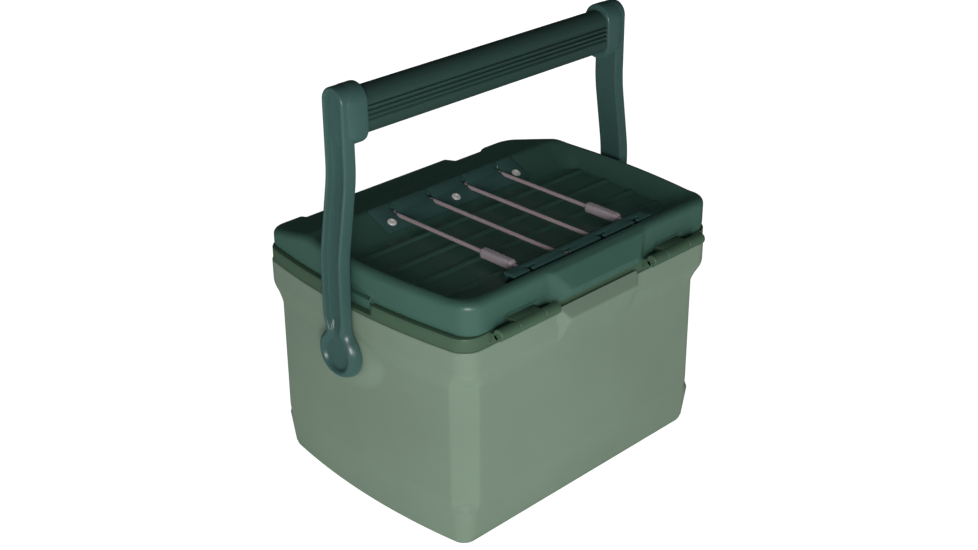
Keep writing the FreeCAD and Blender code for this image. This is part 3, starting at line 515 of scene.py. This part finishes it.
def shape_lid_wall(points):
    """The hinge block at the back, a shallow relief over each middle barrel and the recess at each end.
    """
    x, y, z = points.T
    back = (y > SIDE_FROM) & (np.abs(x) < BLOCK_HALF + 25)
    face = np.interp(z, (180.5, 183.5, 187, 201.5, LID_TOP + 0.1),
                     (RIM_HALF + 4, BLOCK_OUT - 0.6, BLOCK_OUT, RIM_HALF + 0.8, RIM_HALF - 6))
    side = BLOCK_OUT - 0.59 * (np.abs(x) - BLOCK_HALF)
    block = smooth_min(face, side, 2.0)
    y = np.where(back, smooth_max(y, block, 1.5), y)
    over_barrel = ramp(np.abs(x), 63.0, 65.0) * ramp(np.abs(x), 95.0, 93.0) * ramp(z, 187.0, 184.5)
    y = np.where((y > 100) & ~back, y - 1.6 * over_barrel, y)
    end = np.abs(x) > END_FROM
    x = np.where(end, x - np.sign(x) * end_recess(y, z), x)
    return np.column_stack([x, y, z])


def lid_plan(inward):
    """The lid's outline, drawn in by inward."""
    half = RIM_HALF - inward
    return plan(LID_MID - inward, half, min(max(RIM_CORNER - inward, 5.0), half * 0.8))


def make_lid():
    """Rings up the wall from the foot, over the edge, and inwards across the tray."""
    outer = lid_plan(0.0)
    near_arm = ramp(np.abs(outer[:, 1] - PIVOT_Y), TAB_HALF + 3.5, TAB_HALF)
    near_arm = near_arm * (np.abs(outer[:, 0]) > END_FROM)
    foot = LID_FOOT + (TAB_FOOT - LID_FOOT) * near_arm
    brink = lid_plan(LID_EDGE)
    top = lid_top(*brink.T)
    shoulder = top - LID_EDGE
    rings = [at_height(lid_plan(4.6), 187.0), at_height(lid_plan(4.2), foot + 0.3),
             at_height(lid_plan(3.8), foot), at_height(lid_plan(1.6), foot)]
    rings.append(shape_lid_wall(at_height(lid_plan(1.0), foot + 0.5)))
    for share in np.concatenate([[0.04, 0.09], np.linspace(0.14, 1, 34)]):
        z = foot + 0.5 + (shoulder - foot - 0.5) * share
        rings.append(shape_lid_wall(at_height(lid_plan(0.9 * (1 - min(1, share * 5))), z)))
    for turn in np.linspace(0, math.pi / 2, 9)[1:]:
        z = shoulder + LID_EDGE * math.sin(turn)
        rings.append(shape_lid_wall(at_height(lid_plan(LID_EDGE * (1 - math.cos(turn))), z)))
    steps = np.concatenate([np.arange(LID_EDGE + 0.8, 70, 0.8), np.arange(70, 110.2, 1.1)])
    for inward in steps:
        ring = lid_plan(inward)
        rings.append(at_height(ring, lid_top(*ring.T)))
    shapes = [skin(rings)] + make_visor()
    add_piece("lid_body", shapes, "lid", LID_GREEN, ["lid_shell"])


def make_lid_knuckles():
    """The middle knuckle of each hinge, on a thin leaf let into the lid's back wall."""
    gap = 0.35
    corners = [(RIM_HALF - 3, HINGE_Z + 1.4), (HINGE_Y, HINGE_Z), (HINGE_Y, HINGE_Z + KNUCKLE_R - 0.1),
               (RIM_HALF - 3, HINGE_Z + KNUCKLE_R - 0.1)]
    low, high = KNUCKLES[1] + gap, KNUCKLES[2] - gap
    shapes = []
    for shape in (knuckle(low, high), web(corners, low, high)):
        shapes += [shape, mirrored(shape)]
    add_piece("lid_knuckles", shapes, "lid", OLIVE)


def make_visor():
    """The lip over the latch, and the ear at each end that holds its pin."""
    top = lid_top(np.array([0.0]), np.array([14 - RIM_HALF]))[0]
    visor = [(14 - RIM_HALF, top - 0.6), (-RIM_HALF - 5, 189.0), (-RIM_HALF - 6.5, 186.6),
             (14 - RIM_HALF, 186.6)]
    half = LATCH_PIN_HIGH[0] + 2
    shapes = [prism(visor, lambda u, v, w: (w - half, u, v), 2 * half, bevel=0.8, segments=3)]
    ear = [(6 - RIM_HALF, 179.0), (LATCH_Y, LATCH_Z - 3.4), (LATCH_Y - 3.2, LATCH_Z - 1.4),
           (LATCH_Y - 3.4, 187.2), (6 - RIM_HALF, 187.2)]
    inner = LATCH_HIGH[0] + 0.5
    shape = prism(ear, lambda u, v, w: (inner + w, u, v), half - inner, bevel=0.6, segments=3)
    return shapes + [shape, mirrored(shape)]


# ---------------------------------------------------------------- tie-down plates, screws and cord

SLOPE = math.atan2(LID_TOP - TRAY_Z, TRAY_IN[1] - TRAY_OUT[1])
SLOTS = [place * CORD_PITCH for place in (-1.5, -0.5, 0.5, 1.5)]


def on_slope(u, v, w):
    """u along the ridge, v down the tray's front wall from the ridge, w out of it."""
    y = RIDGE_Y + v * math.cos(SLOPE) + w * math.sin(SLOPE)
    z = LID_TOP - v * math.sin(SLOPE) + w * math.cos(SLOPE)
    return (u, y, z)


def make_far_plate():
    """The notched strip on the tray's sloping front wall."""
    half, top, bottom, neck = PLATE_HIGH[0], 1.4, 28.0, 2.3
    edge = [(-half, bottom), (-half, top)]
    for x in SLOTS:
        edge += [(x - neck - 1.6, top), (x - neck - 1.6, top + 4.2), (x - neck, top + 6.0),
                 (x - neck, top + 11.5), (x + neck, top + 11.5), (x + neck, top + 4.6),
                 (x + neck - 2.2, top + 2.6), (x + neck - 2.2, top)]
    edge += [(half, top), (half, bottom)]
    sheet = prism(rounded(edge, 1.6), lambda u, v, w: on_slope(u, v, w + 0.15), 1.8, bevel=0.35)
    add_piece("tie_plate_far", [sheet], "lid", PLATE_GREEN, ["tie_plate_front"])


def make_near_plate():
    """The notched lip over the tray's back edge, on an upright with a window under each notch."""
    half, front, rear, top, thick = LIP_HIGH[0], LIP_LOW[1], LIP_HIGH[1], LIP_HIGH[2] - 0.6, 1.9
    edge = [(-half, front), (-half, rear)]
    for x in SLOTS:
        edge += [(x - 2.0, rear), (x - 2.0, rear - 3.4), (x - 6.5, rear - 3.4), (x - 6.5, rear - 5.6),
                 (x + 2.0, rear - 5.6), (x + 2.0, rear)]
    edge += [(half, rear), (half, front)]
    lip = prism(rounded(edge, 0.9), lambda u, v, w: (u, v, top - w), thick, bevel=0.35)
    foot, head, side = TRAY_Z - 0.5, top - 0.6, half - 1
    windows = [(-side, foot), (-side, head)]
    for x in SLOTS:
        windows += [(x - 2.3, head), (x - 2.3, CORD_NEAR[1] - 2.1),
                    (x + 2.3, CORD_NEAR[1] - 2.1), (x + 2.3, head)]
    windows += [(side, head), (side, foot)]
    upright = prism(windows, lambda u, v, w: (u, front + 0.2 + w, v), 1.7, bevel=0.3)
    add_piece("tie_plate_near", [lip, upright], "lid", PLATE_GREEN, ["tie_plate_back"])


SCREW_HEAD_R = 3.75


def make_screws():
    """Pan heads with a round socket, square to the sloped plate."""
    shapes = []
    axis = (0, math.sin(SLOPE), math.cos(SLOPE))
    down = (SCREW_LOW[1] + SCREW_HIGH[1]) / 2 - RIDGE_Y
    for place in (-1, 0, 1):
        seat = on_slope(place * (SCREW_HIGH[0] - SCREW_HEAD_R), down / math.cos(SLOPE), 1.95)
        head = [(3.2, -0.1), (SCREW_HEAD_R, 0.25), (3.7, 0.8), (3.2, 1.35), (2.3, 1.7), (1.55, 1.75)]
        socket = [(1.4, 1.65), (1.35, 0.5)]
        shapes.append(lathe([(1.6, -5.5), (1.6, -0.1)] + head + socket, seat, axis, steps=36))
    add_piece("pan_screws", shapes, "lid", SCREW, ["tie_plate_screws"])


CORD_STOPS = ((1.5, "near"), (1.5, "far"), (0.5, "far"), (0.5, "near"),
              (-0.5, "near"), (-0.5, "far"), (-1.5, "far"), (-1.5, "near"))
CORD_BEND = 4.0
YARN_TURN = 9.0
SLEEVE_R, SLEEVE_SIDES = 3.75, 40


def cord_line(step=0.6):
    """Points along the laced cord: straight strands, and a tight turn at each slot."""
    ends = {"near": CORD_NEAR, "far": CORD_FAR}
    corners = [Vector((stop * CORD_PITCH, *ends[end])) for stop, end in CORD_STOPS]
    corners[0].y += 2.5
    corners[-1].y += 2.5
    line, start = [], corners[0]
    for before, corner, after in zip(corners, corners[1:], corners[2:]):
        back, ahead = (before - corner).normalized(), (after - corner).normalized()
        enter, leave = corner + back * CORD_BEND, corner + ahead * CORD_BEND
        count = max(2, int((enter - start).length / step))
        line += [start.lerp(enter, i / count) for i in range(count)]
        centre = corner + (back + ahead) * CORD_BEND
        for i in range(10):
            turn = math.pi / 2 * i / 10
            line.append(centre - ahead * CORD_BEND * math.cos(turn) - back * CORD_BEND * math.sin(turn))
        start = leave
    count = int((corners[-1] - start).length / step)
    line += [start.lerp(corners[-1], i / count) for i in range(count + 1)]
    return line


def braided_tube(line, radius, strands=6, relief=0.09, sides=18):
    """A tube whose surface carries two crossing sets of yarn."""
    rings, along = [], 0.0
    up = Vector((0, 0, 1))
    angle = np.linspace(0, 2 * math.pi, sides, endpoint=False)
    for i, point in enumerate(line):
        ahead = (line[min(i + 1, len(line) - 1)] - line[max(i - 1, 0)]).normalized()
        across = ahead.cross(up).normalized()
        other = across.cross(ahead)
        twist = 2 * math.pi * along / YARN_TURN
        yarn = np.maximum(np.cos(strands / 2 * (angle + twist)), np.cos(strands / 2 * (angle - twist)))
        size = (radius - relief + relief * yarn)[:, None]
        rings.append(np.array(point) + size * (np.cos(angle)[:, None] * np.array(across)
                                               + np.sin(angle)[:, None] * np.array(other)))
        if i + 1 < len(line):
            along += (line[i + 1] - point).length
    return skin(rings)


def sleeve_size(along):
    """Share of the full radius: 1 along the middle, less at the blunt end and the tapered one."""
    if along > 0.5:
        return min(1.0, 0.62 + 3.4 * min(along, 1 - along) ** 0.8)
    return min(1.0, 0.80 + 4.0 * along)


def make_sleeve(x):
    """A soft square-shouldered sleeve round one strand, finely ribbed."""
    z = (SLEEVE_LOW[2] + SLEEVE_HIGH[2]) / 2
    angle = np.linspace(0, 2 * math.pi, SLEEVE_SIDES, endpoint=False)
    square = (np.abs(np.cos(angle)) ** 4 + np.abs(np.sin(angle)) ** 4) ** -0.25
    rings = []
    for along in np.linspace(0, 1, 65):
        y = SLEEVE_LOW[1] + along * (SLEEVE_HIGH[1] - SLEEVE_LOW[1])
        rib = 0.16 * np.cos(12 * angle + 40 * along)
        size = SLEEVE_R * sleeve_size(along) * square * 0.94 + rib
        rings.append(np.column_stack([x + size * np.cos(angle), np.full(SLEEVE_SIDES, y),
                                      z + size * np.sin(angle)]))
    return skin(rings)


def make_cord():
    add_piece("laced_cord", [braided_tube(cord_line(), CORD_R)], "lid", CORD,
              ["tie_down_cord"])
    sleeves = [make_sleeve(SLOTS[-1]), make_sleeve(SLOTS[0])]
    add_piece("sleeves", sleeves, "lid", SLEEVE, ["cord_sleeves"])


# ---------------------------------------------------------------- latch

def make_latch():
    """A catch plate on a barrel, with five short finger ribs near its lower edge."""
    half = LATCH_HIGH[0]
    outer, low = LATCH_LOW[1], LATCH_LOW[2]
    plate = [(LATCH_Y - 3.2, LATCH_Z), (outer + 0.9, LATCH_Z - 6.5), (outer + 0.1, RIM_Z - 3),
             (outer + 0.3, low + 1.2), (outer + 1.4, low), (LATCH_Y + 0.6, low),
             (LATCH_Y + 0.6, low + 3.2), (LATCH_Y - 3, low + 3.2), (LATCH_Y - 3, LATCH_Z - 4),
             (LATCH_Y, LATCH_Z - 3.2), (LATCH_Y, LATCH_Z)]
    shapes = [prism(plate, lambda u, v, w: (w - half, u, v), 2 * half, bevel=0.45, segments=2)]
    bore, chamfer, barrel_r = 1.6, 2.9, 3.35
    barrel = [(bore, -half), (chamfer, -half), (barrel_r, 0.5 - half),
              (barrel_r, half - 0.5), (chamfer, half), (bore, half)]
    shapes.append(lathe(barrel, (0, LATCH_Y, LATCH_Z), (1, 0, 0), closed=True))
    for place in (-2, -1, 0, 1, 2):
        x = place * 6.0
        rib = [(x - 1.2, low + 2.6), (x - 1.2, low + 10.5), (x + 1.2, low + 10.5), (x + 1.2, low + 2.6)]
        shapes.append(prism(rounded(rib, 0.9, 3), lambda u, v, w: (u, outer + 0.9 - w, v), 0.9,
                            bevel=0.2))
    add_piece("front_latch", shapes, "latch", LID_GREEN, ["latch"])


# ---------------------------------------------------------------- handle

BOSS_R, STEM_HALF, FLANGE_HALF = 20.5, 11.0, 13.0
ARM_X = {"in": ((0, 152, 207, 268, 400), (144.9, 144.9, 143.8, 134.4, 134.4)),
         "out": ((0, 140, 207, 268, 400), (154.3, 154.3, 154.3, 144.9, 144.9))}
ARM_STEPS = 150


def arm_distance(y, z):
    """Distance outside the arm's side view: a round boss filleted into a straight stem."""
    boss = np.hypot(y, z - PIVOT_Z) - BOSS_R
    top = ARM_HIGH[2] - STEM_HALF
    stem = np.hypot(y, z - np.clip(z, PIVOT_Z, top)) - STEM_HALF
    return smooth_min(boss, stem, 5.0)


def arm_loop(stem_in, boss_in):
    """The arm's outline drawn in by one distance on the stem and another on the boss."""
    low = PIVOT_Z - BOSS_R + boss_in
    high = ARM_HIGH[2] - stem_in
    share = np.linspace(0, 1, ARM_STEPS)
    ends = 0.5 - 0.5 * np.cos(math.pi * share)
    z = low + (high - low) * (0.55 * ends + 0.45 * share)
    inward = stem_in + (boss_in - stem_in) * boss_share(z)
    near, far = np.zeros_like(z), np.full_like(z, 30.0)
    for _ in range(40):
        middle = (near + far) / 2
        inside = arm_distance(middle, z) < -inward
        near = np.where(inside, middle, near)
        far = np.where(inside, far, middle)
    width = near.copy()
    width[0] = width[-1] = 0.0
    return width, z


def boss_share(z):
    """1 beside the pivot, 0 up on the stem."""
    return ramp(z, PIVOT_Z + 30, PIVOT_Z + 13)


def arm_ring(stem, boss, face, side):
    """One ring of the arm; stem and boss are (drawn in, raised) pairs from ARM_PROFILE."""
    width, z = arm_loop(stem[0], boss[0])
    x = softened(z, *ARM_X[face], 9.0) + stem[1] + (boss[1] - stem[1]) * boss_share(z)
    right = np.column_stack([side * x, PIVOT_Y + width, z])
    left = np.column_stack([side * x, PIVOT_Y - width, z])
    return np.vstack([right, left[-2:0:-1]])


def close_flat(faces, ring, count):
    """Fill a ring whose two halves mirror each other with strips across it."""
    for i in range(1, ARM_STEPS - 1):
        mate, beyond = count - i, count - i - 1
        if i == 1:
            faces.append((ring, ring + 1, ring + count - 1))
        if i + 1 < ARM_STEPS - 1:
            faces.append((ring + i, ring + i + 1, ring + beyond, ring + mate))
        else:
            faces.append((ring + i, ring + i + 1, ring + mate))


# The arm's section from the middle of its inner face round to the middle of its outer one:
# (face, (drawn in, raised) on the stem, (drawn in, raised) on the boss).
ARM_PROFILE = (
    ("in", (3.0, 0.0), (3.0, 0.0)), ("in", (1.2, 0.0), (1.2, 0.0)), ("in", (0.5, 0.25), (0.5, 0.25)),
    ("in", (0.1, 0.8), (0.1, 0.8)), ("in", (0.0, 1.5), (0.0, 1.4)), ("in", (0.0, 3.6), (0.1, 2.2)),
    ("out", (0.0, -2.0), (0.6, -5.0)), ("out", (0.2, -1.1), (1.5, -3.2)),
    ("out", (0.7, -0.4), (2.6, -1.6)), ("out", (1.3, -0.1), (3.8, -0.5)),
    ("out", (1.9, 0.0), (4.8, -0.05)), ("out", (2.3, -0.1), (5.6, -0.1)),
    ("out", (2.7, -0.5), (6.4, -0.6)), ("out", (2.9, -1.2), (7.0, -1.4)),
    ("out", (3.1, -3.2), (7.5, -2.3)), ("out", (3.3, -4.0), (7.7, -2.7)),
    ("out", (3.8, -4.3), (8.0, -2.9)), ("out", (4.4, -4.6), (8.3, -3.0)),
    ("out", (4.7, -5.4), (8.5, -3.1)), ("out", (5.0, -6.2), (8.8, -3.2)),
    ("out", (5.6, -6.5), (9.4, -3.3)), ("out", (6.4, -6.5), (10.2, -3.3)))


def make_arm(name, side, nodes):
    """A channelled stem with a round boss, closed on both faces, and the flange at its top."""
    rings = [arm_ring(stem, boss, face, side) for face, stem, boss in ARM_PROFILE]
    points, faces = skin(rings, caps=False)
    count = len(rings[0])
    close_flat(faces, 0, count)
    close_flat(faces, (len(rings) - 1) * count, count)
    add_piece(name, [(points, faces), make_flange(side)], "handle", HANDLE_GREEN, nodes)


def stadium(half, rise, steps=26):
    """Points round an upright stadium centred on the grip."""
    z_mid = (GRIP_LOW[2] + GRIP_HIGH[2]) / 2
    lift = rise - half
    angle = np.linspace(0, 2 * math.pi, 4 * steps, endpoint=False) + 1e-4
    return np.column_stack([PIVOT_Y + half * np.cos(angle),
                            z_mid + half * np.sin(angle) + lift * np.sign(np.sin(angle))])


def make_flange(side):
    """The rounded collar at the top of an arm, where the grip ends."""
    start, end = GRIP_HIGH[0] + 0.02, ARM_X["out"][1][-1] - 3.5
    half, rise = FLANGE_HALF, ARM_HIGH[2] - (GRIP_LOW[2] + GRIP_HIGH[2]) / 2
    rings = []
    for x, less in ((start, 1.6), (start + 0.3, 0.8), (start + 1.0, 0.2), (start + 2.0, 0.0),
                    (start + 11.0, 0.0), (start + 14.0, 0.5), (start + 16.5, 1.3), (end, 2.4)):
        ring = stadium(half - less, rise - less)
        rings.append(np.column_stack([np.full(len(ring), side * x), ring]))
    return skin(rings)


def evenly_spaced(ring, count):
    """The same closed ring with its points an equal distance apart."""
    loop = np.vstack([ring, ring[:1]])
    along = np.concatenate([[0], np.cumsum(np.linalg.norm(np.diff(loop, axis=0), axis=1))])
    places = np.linspace(0, along[-1], count, endpoint=False)
    return np.column_stack([np.interp(places, along, loop[:, axis]) for axis in range(2)])


# Heights of the grooves above the grip's middle, and how far each is cut in.
GRIP_GROOVES, GROOVE_DEPTH = (6.9, 3.3, -0.3, -3.9), 1.7


def make_grip():
    """An oval grip with four fine grooves along the middle of each side."""
    half, rise = (GRIP_HIGH[1] - GRIP_LOW[1]) / 2, (GRIP_HIGH[2] - GRIP_LOW[2]) / 2
    base = evenly_spaced(stadium(half, rise), 400)
    middle = np.array([PIVOT_Y, (GRIP_LOW[2] + GRIP_HIGH[2]) / 2])
    drop = base[:, 1] - middle[1]
    groove = np.zeros(len(base))
    for place in GRIP_GROOVES:
        groove = np.maximum(groove, ramp(np.abs(drop - place), 1.3, 0.3))
    inward = (middle - base) / np.linalg.norm(middle - base, axis=1)[:, None]
    rings = []
    length = GRIP_HIGH[0]
    for x, less in ((-length, 0.5), (0.5 - length, 0.0), (length - 0.5, 0.0), (length, 0.5)):
        ring = base + inward * (GROOVE_DEPTH * groove + less)[:, None]
        rings.append(np.column_stack([np.full(len(ring), x), ring]))
    add_piece("handle_grip", [skin(rings)], "handle", GRIP_GREEN, ["grip_sleeve"])


# ---------------------------------------------------------------- CAD pieces that stay

KEPT = {"inner_liner": LINER, "tub_foam": FOAM, "hinge_pins": STEEL, "pivot_hubs": SAGE,
        "pivot_bolts": STEEL, "lid_liner": LINER, "lid_foam": FOAM, "lid_gasket": SEAL,
        "cord_end_clips": PLATE_GREEN, "latch_pin": STEEL, "pivot_washers": WASHER,
        "grip_core": STEEL}


def dress_cad():
    for node, material in KEPT.items():
        for spot in frame["nodes"][node].material_slots:
            spot.material = material


# ---------------------------------------------------------------- stage, light and camera

# Metres and watts from here on.
FLOOR_GLOW, WORLD_GLOW, FLOOR_HALF = 0.86, 0.16, 30.0
LIGHT_TARGET = (0, 0, 0.15)
CAMERA_PLACE = (0.7469, 0.7590, 0.6820)
CAMERA_YAW, CAMERA_PITCH, CAMERA_ROLL = -134.77, 26.81, 0.16
CAMERA_LENS, CAMERA_SHIFT = 56.13, (-0.0072, -0.001)


def make_stage():
    """A pale floor that glows, so that it stays even; it is kept out of the object's reflections."""
    half = FLOOR_HALF
    mesh = bpy.data.meshes.new("floor")
    mesh.from_pydata([(-half, -half, 0), (half, -half, 0), (half, half, 0), (-half, half, 0)], [],
                     [(0, 1, 2, 3)])
    floor = bpy.data.objects.new("floor", mesh)
    bpy.context.scene.collection.objects.link(floor)
    paper = moulded("pale_floor", (0.85, 0.85, 0.85), 0.9, drift=0.005)
    glow = paper.node_tree.nodes["Principled BSDF"]
    glow.inputs["Emission Color"].default_value = (1, 1, 1, 1)
    glow.inputs["Emission Strength"].default_value = FLOOR_GLOW
    mesh.materials.append(paper)
    floor.visible_glossy = False


def add_light(name, place, width, height, power):
    data = bpy.data.lights.new(name, "AREA")
    data.shape = "RECTANGLE"
    data.size, data.size_y = width, height
    data.energy = power
    light = bpy.data.objects.new(name, data)
    light.location = place
    light.rotation_euler = (Vector(LIGHT_TARGET) - Vector(place)).to_track_quat("-Z", "Y").to_euler()
    bpy.context.scene.collection.objects.link(light)
    return light


def make_lights():
    add_light("key", (0.84, 0.84, 0.42), 0.35, 0.35, 6.4)
    add_light("right_fill", (0.55, 1.3, 0.35), 0.3, 0.5, 1.6)
    back = add_light("back_fill", (-1.1, -1.1, 0.5), 0.6, 0.6, 2.5)
    back.visible_glossy = False
    world = bpy.data.worlds.new("studio")
    world.use_nodes = True
    world.node_tree.nodes["Background"].inputs["Color"].default_value = (1, 1, 1, 1)
    world.node_tree.nodes["Background"].inputs["Strength"].default_value = WORLD_GLOW
    world.cycles_visibility.glossy = False
    bpy.context.scene.world = world
    bpy.context.scene.view_settings.view_transform = "Standard"


def make_camera():
    data = bpy.data.cameras.new("camera")
    data.sensor_width = 36.0
    data.lens = CAMERA_LENS
    data.shift_x, data.shift_y = CAMERA_SHIFT
    camera = bpy.data.objects.new("camera", data)
    yaw, pitch, roll = (math.radians(angle) for angle in (CAMERA_YAW, CAMERA_PITCH, CAMERA_ROLL))
    look = Vector((math.cos(pitch) * math.cos(yaw), math.cos(pitch) * math.sin(yaw), -math.sin(pitch)))
    turn = look.to_track_quat("-Z", "Y").to_matrix().to_4x4() @ Matrix.Rotation(-roll, 4, "Z")
    camera.matrix_world = Matrix.Translation(CAMERA_PLACE) @ turn
    bpy.context.scene.collection.objects.link(camera)
    bpy.context.scene.camera = camera


make_camera()
make_stage()
make_lights()
make_tub()
make_collar()
make_lid()
make_lid_knuckles()
make_far_plate()
make_near_plate()
make_screws()
make_cord()
make_latch()
make_arm("arm_left", 1, ["handle_arm_left", "pivot_caps"])
make_arm("arm_right", -1, ["handle_arm_right"])
make_grip()
dress_cad()
